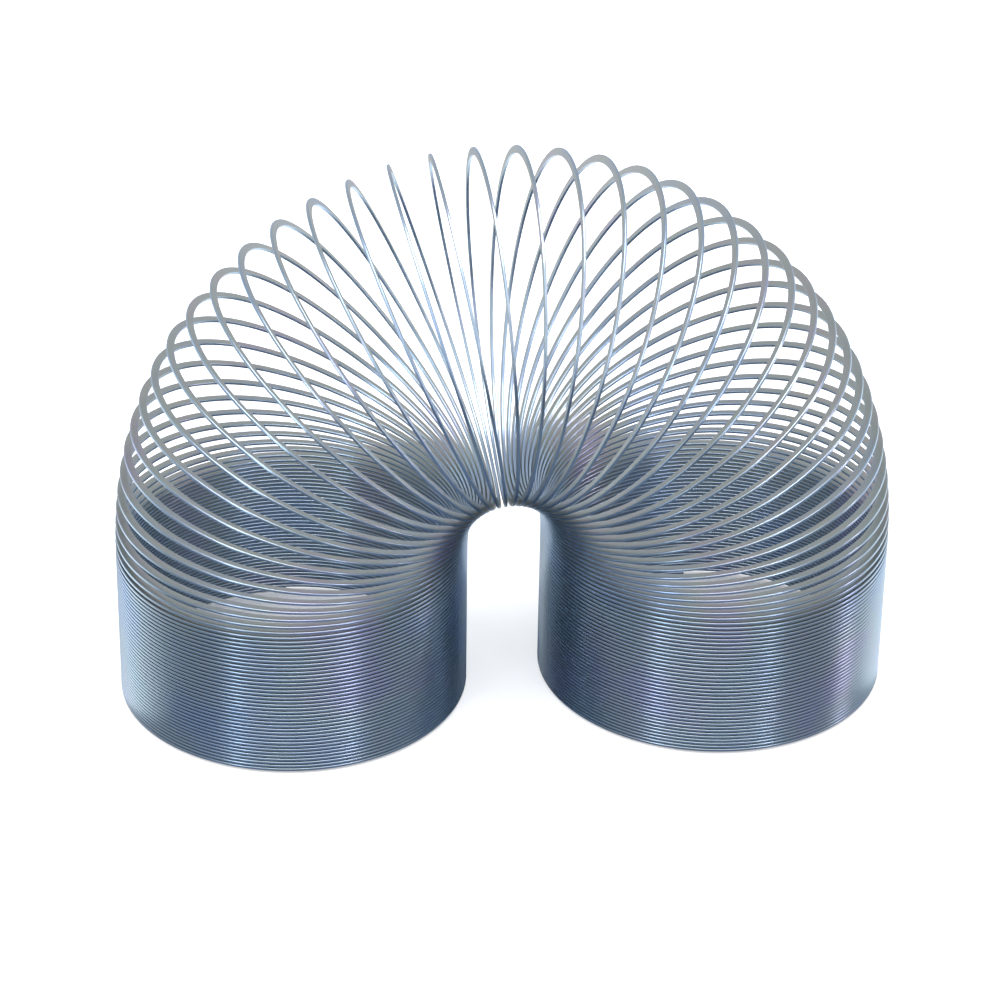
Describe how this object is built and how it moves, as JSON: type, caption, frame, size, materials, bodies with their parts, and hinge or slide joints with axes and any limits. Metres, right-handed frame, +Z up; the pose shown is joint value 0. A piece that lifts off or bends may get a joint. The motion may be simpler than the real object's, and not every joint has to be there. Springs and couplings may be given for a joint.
{
  "type": "spring coil toy",
  "caption": "Flat-wire steel spring coil standing on both ends as an arch; it straightens, closes and stretches.",
  "frame": {"origin": "on the floor, midway between the two feet", "axes": "+X from the left foot to the right foot, +Z up, +Y to the back"},
  "size_m": [0.155, 0.07, 0.1133],
  "materials": {
    "spring_steel": "bright rolled"
  },
  "bodies": {
    "left_foot_coils": {"left_foot_coils": "spring_steel"},
    "left_leg_coils_02": {"left_leg_coils_02": "spring_steel"},
    "left_leg_coils_03": {"left_leg_coils_03": "spring_steel"},
    "left_leg_coils_04": {"left_leg_coils_04": "spring_steel"},
    "left_leg_coils_05": {"left_leg_coils_05": "spring_steel"},
    "left_leg_coils_06": {"left_leg_coils_06": "spring_steel"},
    "left_leg_coils_07": {"left_leg_coils_07": "spring_steel"},
    "left_leg_coils_08": {"left_leg_coils_08": "spring_steel"},
    "left_shoulder_coils": {"left_shoulder_coils": "spring_steel"},
    "arch_turn_01": {"arch_turn_01": "spring_steel"},
    "arch_turn_02": {"arch_turn_02": "spring_steel"},
    "arch_turn_03": {"arch_turn_03": "spring_steel"},
    "arch_turn_04": {"arch_turn_04": "spring_steel"},
    "arch_turn_05": {"arch_turn_05": "spring_steel"},
    "arch_turn_06": {"arch_turn_06": "spring_steel"},
    "arch_turn_07": {"arch_turn_07": "spring_steel"},
    "arch_turn_08": {"arch_turn_08": "spring_steel"},
    "arch_turn_09": {"arch_turn_09": "spring_steel"},
    "arch_turn_10": {"arch_turn_10": "spring_steel"},
    "arch_turn_11": {"arch_turn_11": "spring_steel"},
    "arch_turn_12": {"arch_turn_12": "spring_steel"},
    "arch_turn_13": {"arch_turn_13": "spring_steel"},
    "arch_turn_14": {"arch_turn_14": "spring_steel"},
    "arch_turn_15": {"arch_turn_15": "spring_steel"},
    "arch_turn_16": {"arch_turn_16": "spring_steel"},
    "arch_turn_17": {"arch_turn_17": "spring_steel"},
    "arch_turn_18": {"arch_turn_18": "spring_steel"},
    "arch_turn_19": {"arch_turn_19": "spring_steel"},
    "arch_turn_20": {"arch_turn_20": "spring_steel"},
    "arch_turn_21": {"arch_turn_21": "spring_steel"},
    "arch_turn_22": {"arch_turn_22": "spring_steel"},
    "arch_turn_23": {"arch_turn_23": "spring_steel"},
    "arch_turn_24": {"arch_turn_24": "spring_steel"},
    "arch_turn_25": {"arch_turn_25": "spring_steel"},
    "arch_turn_26": {"arch_turn_26": "spring_steel"},
    "arch_turn_27": {"arch_turn_27": "spring_steel"},
    "arch_turn_28": {"arch_turn_28": "spring_steel"},
    "arch_turn_29": {"arch_turn_29": "spring_steel"},
    "arch_turn_30": {"arch_turn_30": "spring_steel"},
    "arch_turn_31": {"arch_turn_31": "spring_steel"},
    "arch_turn_32": {"arch_turn_32": "spring_steel"},
    "arch_turn_33": {"arch_turn_33": "spring_steel"},
    "arch_turn_34": {"arch_turn_34": "spring_steel"},
    "arch_turn_35": {"arch_turn_35": "spring_steel"},
    "arch_turn_36": {"arch_turn_36": "spring_steel"},
    "arch_turn_37": {"arch_turn_37": "spring_steel"},
    "arch_turn_38": {"arch_turn_38": "spring_steel"},
    "arch_turn_39": {"arch_turn_39": "spring_steel"},
    "arch_turn_40": {"arch_turn_40": "spring_steel"},
    "arch_turn_41": {"arch_turn_41": "spring_steel"},
    "arch_turn_42": {"arch_turn_42": "spring_steel"},
    "right_shoulder_coils": {"right_shoulder_coils": "spring_steel"},
    "right_leg_coils_08": {"right_leg_coils_08": "spring_steel"},
    "right_leg_coils_07": {"right_leg_coils_07": "spring_steel"},
    "right_leg_coils_06": {"right_leg_coils_06": "spring_steel"},
    "right_leg_coils_05": {"right_leg_coils_05": "spring_steel"},
    "right_leg_coils_04": {"right_leg_coils_04": "spring_steel"},
    "right_leg_coils_03": {"right_leg_coils_03": "spring_steel"},
    "right_leg_coils_02": {"right_leg_coils_02": "spring_steel"},
    "right_foot_coils": {"right_foot_coils": "spring_steel"}
  },
  "joints": [
    {"name": "stretch_of_left_leg_coils_02", "type": "slide", "parent": "left_foot_coils", "child": "left_leg_coils_02", "axis": [0, 0, 1], "range_m": [0, 0.003]},
    {"name": "stretch_of_left_leg_coils_03", "type": "slide", "parent": "left_leg_coils_02", "child": "left_leg_coils_03", "axis": [0, 0, 1], "range_m": [0, 0.003]},
    {"name": "stretch_of_left_leg_coils_04", "type": "slide", "parent": "left_leg_coils_03", "child": "left_leg_coils_04", "axis": [0, 0, 1], "range_m": [0, 0.003]},
    {"name": "stretch_of_left_leg_coils_05", "type": "slide", "parent": "left_leg_coils_04", "child": "left_leg_coils_05", "axis": [0, 0, 1], "range_m": [0, 0.003]},
    {"name": "stretch_of_left_leg_coils_06", "type": "slide", "parent": "left_leg_coils_05", "child": "left_leg_coils_06", "axis": [0, 0, 1], "range_m": [0, 0.003]},
    {"name": "stretch_of_left_leg_coils_07", "type": "slide", "parent": "left_leg_coils_06", "child": "left_leg_coils_07", "axis": [0, 0, 1], "range_m": [0, 0.003]},
    {"name": "stretch_of_left_leg_coils_08", "type": "slide", "parent": "left_leg_coils_07", "child": "left_leg_coils_08", "axis": [0, 0, 1], "range_m": [0, 0.003]},
    {"name": "stretch_of_left_shoulder_coils", "type": "slide", "parent": "left_leg_coils_08", "child": "left_shoulder_coils", "axis": [0, 0, 1], "range_m": [0, 0.003]},
    {"name": "bend_of_arch_turn_01", "type": "hinge", "parent": "left_shoulder_coils", "child": "arch_turn_01", "pos_m": [-0.00827, 0, 0.03182], "axis": [0, 1, 0], "range_deg": [-0.60873, 0], "stiffness_Nm_per_rad": 0.03, "springref_deg": -0.61},
    {"name": "bend_of_arch_turn_02", "type": "hinge", "parent": "arch_turn_01", "child": "arch_turn_02", "pos_m": [-0.00826, 0, 0.03268], "axis": [0, 1, 0], "range_deg": [-0.98026, 0], "stiffness_Nm_per_rad": 0.03, "springref_deg": -0.98},
    {"name": "bend_of_arch_turn_03", "type": "hinge", "parent": "arch_turn_02", "child": "arch_turn_03", "pos_m": [-0.00823, 0, 0.03354], "axis": [0, 1, 0], "range_deg": [-1.4, 0], "stiffness_Nm_per_rad": 0.03, "springref_deg": -1.4},
    {"name": "bend_of_arch_turn_04", "type": "hinge", "parent": "arch_turn_03", "child": "arch_turn_04", "pos_m": [-0.00818, 0, 0.03439], "axis": [0, 1, 0], "range_deg": [-1.84, 0], "stiffness_Nm_per_rad": 0.03, "springref_deg": -1.84},
    {"name": "bend_of_arch_turn_05", "type": "hinge", "parent": "arch_turn_04", "child": "arch_turn_05", "pos_m": [-0.0081, 0, 0.03524], "axis": [0, 1, 0], "range_deg": [-2.31, 0], "stiffness_Nm_per_rad": 0.03, "springref_deg": -2.31},
    {"name": "bend_of_arch_turn_06", "type": "hinge", "parent": "arch_turn_05", "child": "arch_turn_06", "pos_m": [-0.00799, 0, 0.03608], "axis": [0, 1, 0], "range_deg": [-2.78, 0], "stiffness_Nm_per_rad": 0.03, "springref_deg": -2.78},
    {"name": "bend_of_arch_turn_07", "type": "hinge", "parent": "arch_turn_06", "child": "arch_turn_07", "pos_m": [-0.00784, 0, 0.0369], "axis": [0, 1, 0], "range_deg": [-3.24, 0], "stiffness_Nm_per_rad": 0.03, "springref_deg": -3.24},
    {"name": "bend_of_arch_turn_08", "type": "hinge", "parent": "arch_turn_07", "child": "arch_turn_08", "pos_m": [-0.00765, 0, 0.03771], "axis": [0, 1, 0], "range_deg": [-3.7, 0], "stiffness_Nm_per_rad": 0.03, "springref_deg": -3.7},
    {"name": "bend_of_arch_turn_09", "type": "hinge", "parent": "arch_turn_08", "child": "arch_turn_09", "pos_m": [-0.0074, 0, 0.0385], "axis": [0, 1, 0], "range_deg": [-4.13, 0], "stiffness_Nm_per_rad": 0.03, "springref_deg": -4.13},
    {"name": "bend_of_arch_turn_10", "type": "hinge", "parent": "arch_turn_09", "child": "arch_turn_10", "pos_m": [-0.0071, 0, 0.03927], "axis": [0, 1, 0], "range_deg": [-4.54, 0], "stiffness_Nm_per_rad": 0.03, "springref_deg": -4.54},
    {"name": "bend_of_arch_turn_11", "type": "hinge", "parent": "arch_turn_10", "child": "arch_turn_11", "pos_m": [-0.00674, 0, 0.04001], "axis": [0, 1, 0], "range_deg": [-4.92, 0], "stiffness_Nm_per_rad": 0.03, "springref_deg": -4.92},
    {"name": "bend_of_arch_turn_12", "type": "hinge", "parent": "arch_turn_11", "child": "arch_turn_12", "pos_m": [-0.00633, 0, 0.04071], "axis": [0, 1, 0], "range_deg": [-5.27, 0], "stiffness_Nm_per_rad": 0.03, "springref_deg": -5.27},
    {"name": "bend_of_arch_turn_13", "type": "hinge", "parent": "arch_turn_12", "child": "arch_turn_13", "pos_m": [-0.00585, 0, 0.04136], "axis": [0, 1, 0], "range_deg": [-5.58, 0], "stiffness_Nm_per_rad": 0.03, "springref_deg": -5.58},
    {"name": "bend_of_arch_turn_14", "type": "hinge", "parent": "arch_turn_13", "child": "arch_turn_14", "pos_m": [-0.00531, 0, 0.04197], "axis": [0, 1, 0], "range_deg": [-5.86, 0], "stiffness_Nm_per_rad": 0.03, "springref_deg": -5.86},
    {"name": "bend_of_arch_turn_15", "type": "hinge", "parent": "arch_turn_14", "child": "arch_turn_15", "pos_m": [-0.00471, 0, 0.04251], "axis": [0, 1, 0], "range_deg": [-6.09, 0], "stiffness_Nm_per_rad": 0.03, "springref_deg": -6.09},
    {"name": "bend_of_arch_turn_16", "type": "hinge", "parent": "arch_turn_15", "child": "arch_turn_16", "pos_m": [-0.00407, 0, 0.04299], "axis": [0, 1, 0], "range_deg": [-6.28, 0], "stiffness_Nm_per_rad": 0.03, "springref_deg": -6.28},
    {"name": "bend_of_arch_turn_17", "type": "hinge", "parent": "arch_turn_16", "child": "arch_turn_17", "pos_m": [-0.00337, 0, 0.04339], "axis": [0, 1, 0], "range_deg": [-6.43, 0], "stiffness_Nm_per_rad": 0.03, "springref_deg": -6.43},
    {"name": "bend_of_arch_turn_18", "type": "hinge", "parent": "arch_turn_17", "child": "arch_turn_18", "pos_m": [-0.00264, 0, 0.04371], "axis": [0, 1, 0], "range_deg": [-6.54, 0], "stiffness_Nm_per_rad": 0.03, "springref_deg": -6.54},
    {"name": "bend_of_arch_turn_19", "type": "hinge", "parent": "arch_turn_18", "child": "arch_turn_19", "pos_m": [-0.00188, 0, 0.04394], "axis": [0, 1, 0], "range_deg": [-6.6, 0], "stiffness_Nm_per_rad": 0.03, "springref_deg": -6.6},
    {"name": "bend_of_arch_turn_20", "type": "hinge", "parent": "arch_turn_19", "child": "arch_turn_20", "pos_m": [-0.00109, 0, 0.04409], "axis": [0, 1, 0], "range_deg": [-6.63, 0], "stiffness_Nm_per_rad": 0.03, "springref_deg": -6.63},
    {"name": "bend_of_arch_turn_21", "type": "hinge", "parent": "arch_turn_20", "child": "arch_turn_21", "pos_m": [-0.0003, 0, 0.04414], "axis": [0, 1, 0], "range_deg": [-6.62, 0], "stiffness_Nm_per_rad": 0.03, "springref_deg": -6.62},
    {"name": "bend_of_arch_turn_22", "type": "hinge", "parent": "arch_turn_21", "child": "arch_turn_22", "pos_m": [0.0005, 0, 0.0441], "axis": [0, 1, 0], "range_deg": [-6.57, 0], "stiffness_Nm_per_rad": 0.03, "springref_deg": -6.57},
    {"name": "bend_of_arch_turn_23", "type": "hinge", "parent": "arch_turn_22", "child": "arch_turn_23", "pos_m": [0.00129, 0, 0.04397], "axis": [0, 1, 0], "range_deg": [-6.49, 0], "stiffness_Nm_per_rad": 0.03, "springref_deg": -6.49},
    {"name": "bend_of_arch_turn_24", "type": "hinge", "parent": "arch_turn_23", "child": "arch_turn_24", "pos_m": [0.00206, 0, 0.04376], "axis": [0, 1, 0], "range_deg": [-6.38, 0], "stiffness_Nm_per_rad": 0.03, "springref_deg": -6.38},
    {"name": "bend_of_arch_turn_25", "type": "hinge", "parent": "arch_turn_24", "child": "arch_turn_25", "pos_m": [0.0028, 0, 0.04345], "axis": [0, 1, 0], "range_deg": [-6.24, 0], "stiffness_Nm_per_rad": 0.03, "springref_deg": -6.24},
    {"name": "bend_of_arch_turn_26", "type": "hinge", "parent": "arch_turn_25", "child": "arch_turn_26", "pos_m": [0.00351, 0, 0.04307], "axis": [0, 1, 0], "range_deg": [-6.07, 0], "stiffness_Nm_per_rad": 0.03, "springref_deg": -6.07},
    {"name": "bend_of_arch_turn_27", "type": "hinge", "parent": "arch_turn_26", "child": "arch_turn_27", "pos_m": [0.00417, 0, 0.04261], "axis": [0, 1, 0], "range_deg": [-5.86, 0], "stiffness_Nm_per_rad": 0.03, "springref_deg": -5.86},
    {"name": "bend_of_arch_turn_28", "type": "hinge", "parent": "arch_turn_27", "child": "arch_turn_28", "pos_m": [0.00479, 0, 0.04209], "axis": [0, 1, 0], "range_deg": [-5.62, 0], "stiffness_Nm_per_rad": 0.03, "springref_deg": -5.62},
    {"name": "bend_of_arch_turn_29", "type": "hinge", "parent": "arch_turn_28", "child": "arch_turn_29", "pos_m": [0.00535, 0, 0.0415], "axis": [0, 1, 0], "range_deg": [-5.35, 0], "stiffness_Nm_per_rad": 0.03, "springref_deg": -5.35},
    {"name": "bend_of_arch_turn_30", "type": "hinge", "parent": "arch_turn_29", "child": "arch_turn_30", "pos_m": [0.00586, 0, 0.04087], "axis": [0, 1, 0], "range_deg": [-5.06, 0], "stiffness_Nm_per_rad": 0.03, "springref_deg": -5.06},
    {"name": "bend_of_arch_turn_31", "type": "hinge", "parent": "arch_turn_30", "child": "arch_turn_31", "pos_m": [0.00631, 0, 0.04019], "axis": [0, 1, 0], "range_deg": [-4.74, 0], "stiffness_Nm_per_rad": 0.03, "springref_deg": -4.74},
    {"name": "bend_of_arch_turn_32", "type": "hinge", "parent": "arch_turn_31", "child": "arch_turn_32", "pos_m": [0.00671, 0, 0.03947], "axis": [0, 1, 0], "range_deg": [-4.4, 0], "stiffness_Nm_per_rad": 0.03, "springref_deg": -4.4},
    {"name": "bend_of_arch_turn_33", "type": "hinge", "parent": "arch_turn_32", "child": "arch_turn_33", "pos_m": [0.00705, 0, 0.03872], "axis": [0, 1, 0], "range_deg": [-4.04, 0], "stiffness_Nm_per_rad": 0.03, "springref_deg": -4.04},
    {"name": "bend_of_arch_turn_34", "type": "hinge", "parent": "arch_turn_33", "child": "arch_turn_34", "pos_m": [0.00734, 0, 0.03794], "axis": [0, 1, 0], "range_deg": [-3.67, 0], "stiffness_Nm_per_rad": 0.03, "springref_deg": -3.67},
    {"name": "bend_of_arch_turn_35", "type": "hinge", "parent": "arch_turn_34", "child": "arch_turn_35", "pos_m": [0.00758, 0, 0.03714], "axis": [0, 1, 0], "range_deg": [-3.29, 0], "stiffness_Nm_per_rad": 0.03, "springref_deg": -3.29},
    {"name": "bend_of_arch_turn_36", "type": "hinge", "parent": "arch_turn_35", "child": "arch_turn_36", "pos_m": [0.00777, 0, 0.03633], "axis": [0, 1, 0], "range_deg": [-2.9, 0], "stiffness_Nm_per_rad": 0.03, "springref_deg": -2.9},
    {"name": "bend_of_arch_turn_37", "type": "hinge", "parent": "arch_turn_36", "child": "arch_turn_37", "pos_m": [0.00793, 0, 0.0355], "axis": [0, 1, 0], "range_deg": [-2.52, 0], "stiffness_Nm_per_rad": 0.03, "springref_deg": -2.52},
    {"name": "bend_of_arch_turn_38", "type": "hinge", "parent": "arch_turn_37", "child": "arch_turn_38", "pos_m": [0.00805, 0, 0.03466], "axis": [0, 1, 0], "range_deg": [-2.13, 0], "stiffness_Nm_per_rad": 0.03, "springref_deg": -2.13},
    {"name": "bend_of_arch_turn_39", "type": "hinge", "parent": "arch_turn_38", "child": "arch_turn_39", "pos_m": [0.00813, 0, 0.03382], "axis": [0, 1, 0], "range_deg": [-1.76, 0], "stiffness_Nm_per_rad": 0.03, "springref_deg": -1.76},
    {"name": "bend_of_arch_turn_40", "type": "hinge", "parent": "arch_turn_39", "child": "arch_turn_40", "pos_m": [0.00819, 0, 0.03296], "axis": [0, 1, 0], "range_deg": [-1.41, 0], "stiffness_Nm_per_rad": 0.03, "springref_deg": -1.41},
    {"name": "bend_of_arch_turn_41", "type": "hinge", "parent": "arch_turn_40", "child": "arch_turn_41", "pos_m": [0.00823, 0, 0.03211], "axis": [0, 1, 0], "range_deg": [-1.07, 0], "stiffness_Nm_per_rad": 0.03, "springref_deg": -1.07},
    {"name": "bend_of_arch_turn_42", "type": "hinge", "parent": "arch_turn_41", "child": "arch_turn_42", "pos_m": [0.00826, 0, 0.03125], "axis": [0, 1, 0], "range_deg": [-0.76528, 0], "stiffness_Nm_per_rad": 0.03, "springref_deg": -0.77},
    {"name": "bend_of_right_shoulder_coils", "type": "hinge", "parent": "arch_turn_42", "child": "right_shoulder_coils", "pos_m": [0.00827, 0, 0.03038], "axis": [0, 1, 0], "range_deg": [-0.49653, 0], "stiffness_Nm_per_rad": 0.03, "springref_deg": -0.5},
    {"name": "stretch_of_right_leg_coils_08", "type": "slide", "parent": "right_shoulder_coils", "child": "right_leg_coils_08", "axis": [0, 0, -1], "range_m": [0, 0.003]},
    {"name": "stretch_of_right_leg_coils_07", "type": "slide", "parent": "right_leg_coils_08", "child": "right_leg_coils_07", "axis": [0, 0, -1], "range_m": [0, 0.003]},
    {"name": "stretch_of_right_leg_coils_06", "type": "slide", "parent": "right_leg_coils_07", "child": "right_leg_coils_06", "axis": [0, 0, -1], "range_m": [0, 0.003]},
    {"name": "stretch_of_right_leg_coils_05", "type": "slide", "parent": "right_leg_coils_06", "child": "right_leg_coils_05", "axis": [0, 0, -1], "range_m": [0, 0.003]},
    {"name": "stretch_of_right_leg_coils_04", "type": "slide", "parent": "right_leg_coils_05", "child": "right_leg_coils_04", "axis": [0, 0, -1], "range_m": [0, 0.003]},
    {"name": "stretch_of_right_leg_coils_03", "type": "slide", "parent": "right_leg_coils_04", "child": "right_leg_coils_03", "axis": [0, 0, -1], "range_m": [0, 0.003]},
    {"name": "stretch_of_right_leg_coils_02", "type": "slide", "parent": "right_leg_coils_03", "child": "right_leg_coils_02", "axis": [0, 0, -1], "range_m": [0, 0.003]},
    {"name": "stretch_of_right_foot_coils", "type": "slide", "parent": "right_leg_coils_02", "child": "right_foot_coils", "axis": [0, 0, -1], "range_m": [0, 0.003]}
  ],
  "couplings": [
    {"joint": "stretch_of_left_leg_coils_03", "follows": "stretch_of_left_leg_coils_02", "ratio": 1},
    {"joint": "stretch_of_left_leg_coils_04", "follows": "stretch_of_left_leg_coils_02", "ratio": 1},
    {"joint": "stretch_of_left_leg_coils_05", "follows": "stretch_of_left_leg_coils_02", "ratio": 1},
    {"joint": "stretch_of_left_leg_coils_06", "follows": "stretch_of_left_leg_coils_02", "ratio": 1},
    {"joint": "stretch_of_left_leg_coils_07", "follows": "stretch_of_left_leg_coils_02", "ratio": 1},
    {"joint": "stretch_of_left_leg_coils_08", "follows": "stretch_of_left_leg_coils_02", "ratio": 1},
    {"joint": "stretch_of_left_shoulder_coils", "follows": "stretch_of_left_leg_coils_02", "ratio": 1},
    {"joint": "bend_of_arch_turn_01", "follows": "bend_of_arch_turn_20", "ratio": 0.0918},
    {"joint": "bend_of_arch_turn_02", "follows": "bend_of_arch_turn_20", "ratio": 0.14783},
    {"joint": "bend_of_arch_turn_03", "follows": "bend_of_arch_turn_20", "ratio": 0.21078},
    {"joint": "bend_of_arch_turn_04", "follows": "bend_of_arch_turn_20", "ratio": 0.27823},
    {"joint": "bend_of_arch_turn_05", "follows": "bend_of_arch_turn_20", "ratio": 0.34817},
    {"joint": "bend_of_arch_turn_06", "follows": "bend_of_arch_turn_20", "ratio": 0.41892},
    {"joint": "bend_of_arch_turn_07", "follows": "bend_of_arch_turn_20", "ratio": 0.48908},
    {"joint": "bend_of_arch_turn_08", "follows": "bend_of_arch_turn_20", "ratio": 0.55743},
    {"joint": "bend_of_arch_turn_09", "follows": "bend_of_arch_turn_20", "ratio": 0.62297},
    {"joint": "bend_of_arch_turn_10", "follows": "bend_of_arch_turn_20", "ratio": 0.68483},
    {"joint": "bend_of_arch_turn_11", "follows": "bend_of_arch_turn_20", "ratio": 0.7423},
    {"joint": "bend_of_arch_turn_12", "follows": "bend_of_arch_turn_20", "ratio": 0.79478},
    {"joint": "bend_of_arch_turn_13", "follows": "bend_of_arch_turn_20", "ratio": 0.84182},
    {"joint": "bend_of_arch_turn_14", "follows": "bend_of_arch_turn_20", "ratio": 0.88305},
    {"joint": "bend_of_arch_turn_15", "follows": "bend_of_arch_turn_20", "ratio": 0.91821},
    {"joint": "bend_of_arch_turn_16", "follows": "bend_of_arch_turn_20", "ratio": 0.94713},
    {"joint": "bend_of_arch_turn_17", "follows": "bend_of_arch_turn_20", "ratio": 0.96972},
    {"joint": "bend_of_arch_turn_18", "follows": "bend_of_arch_turn_20", "ratio": 0.986},
    {"joint": "bend_of_arch_turn_19", "follows": "bend_of_arch_turn_20", "ratio": 0.99605},
    {"joint": "bend_of_arch_turn_21", "follows": "bend_of_arch_turn_20", "ratio": 0.99828},
    {"joint": "bend_of_arch_turn_22", "follows": "bend_of_arch_turn_20", "ratio": 0.99123},
    {"joint": "bend_of_arch_turn_23", "follows": "bend_of_arch_turn_20", "ratio": 0.97942},
    {"joint": "bend_of_arch_turn_24", "follows": "bend_of_arch_turn_20", "ratio": 0.96287},
    {"joint": "bend_of_arch_turn_25", "follows": "bend_of_arch_turn_20", "ratio": 0.94132},
    {"joint": "bend_of_arch_turn_26", "follows": "bend_of_arch_turn_20", "ratio": 0.91476},
    {"joint": "bend_of_arch_turn_27", "follows": "bend_of_arch_turn_20", "ratio": 0.88334},
    {"joint": "bend_of_arch_turn_28", "follows": "bend_of_arch_turn_20", "ratio": 0.84726},
    {"joint": "bend_of_arch_turn_29", "follows": "bend_of_arch_turn_20", "ratio": 0.80682},
    {"joint": "bend_of_arch_turn_30", "follows": "bend_of_arch_turn_20", "ratio": 0.76237},
    {"joint": "bend_of_arch_turn_31", "follows": "bend_of_arch_turn_20", "ratio": 0.71432},
    {"joint": "bend_of_arch_turn_32", "follows": "bend_of_arch_turn_20", "ratio": 0.66312},
    {"joint": "bend_of_arch_turn_33", "follows": "bend_of_arch_turn_20", "ratio": 0.6093},
    {"joint": "bend_of_arch_turn_34", "follows": "bend_of_arch_turn_20", "ratio": 0.55339},
    {"joint": "bend_of_arch_turn_35", "follows": "bend_of_arch_turn_20", "ratio": 0.49602},
    {"joint": "bend_of_arch_turn_36", "follows": "bend_of_arch_turn_20", "ratio": 0.43784},
    {"joint": "bend_of_arch_turn_37", "follows": "bend_of_arch_turn_20", "ratio": 0.37956},
    {"joint": "bend_of_arch_turn_38", "follows": "bend_of_arch_turn_20", "ratio": 0.32193},
    {"joint": "bend_of_arch_turn_39", "follows": "bend_of_arch_turn_20", "ratio": 0.26578},
    {"joint": "bend_of_arch_turn_40", "follows": "bend_of_arch_turn_20", "ratio": 0.21199},
    {"joint": "bend_of_arch_turn_41", "follows": "bend_of_arch_turn_20", "ratio": 0.16151},
    {"joint": "bend_of_arch_turn_42", "follows": "bend_of_arch_turn_20", "ratio": 0.11541},
    {"joint": "bend_of_right_shoulder_coils", "follows": "bend_of_arch_turn_20", "ratio": 0.07488},
    {"joint": "stretch_of_right_leg_coils_08", "follows": "stretch_of_left_leg_coils_02", "ratio": 1},
    {"joint": "stretch_of_right_leg_coils_07", "follows": "stretch_of_left_leg_coils_02", "ratio": 1},
    {"joint": "stretch_of_right_leg_coils_06", "follows": "stretch_of_left_leg_coils_02", "ratio": 1},
    {"joint": "stretch_of_right_leg_coils_05", "follows": "stretch_of_left_leg_coils_02", "ratio": 1},
    {"joint": "stretch_of_right_leg_coils_04", "follows": "stretch_of_left_leg_coils_02", "ratio": 1},
    {"joint": "stretch_of_right_leg_coils_03", "follows": "stretch_of_left_leg_coils_02", "ratio": 1},
    {"joint": "stretch_of_right_leg_coils_02", "follows": "stretch_of_left_leg_coils_02", "ratio": 1},
    {"joint": "stretch_of_right_foot_coils", "follows": "stretch_of_left_leg_coils_02", "ratio": 1}
  ]
}
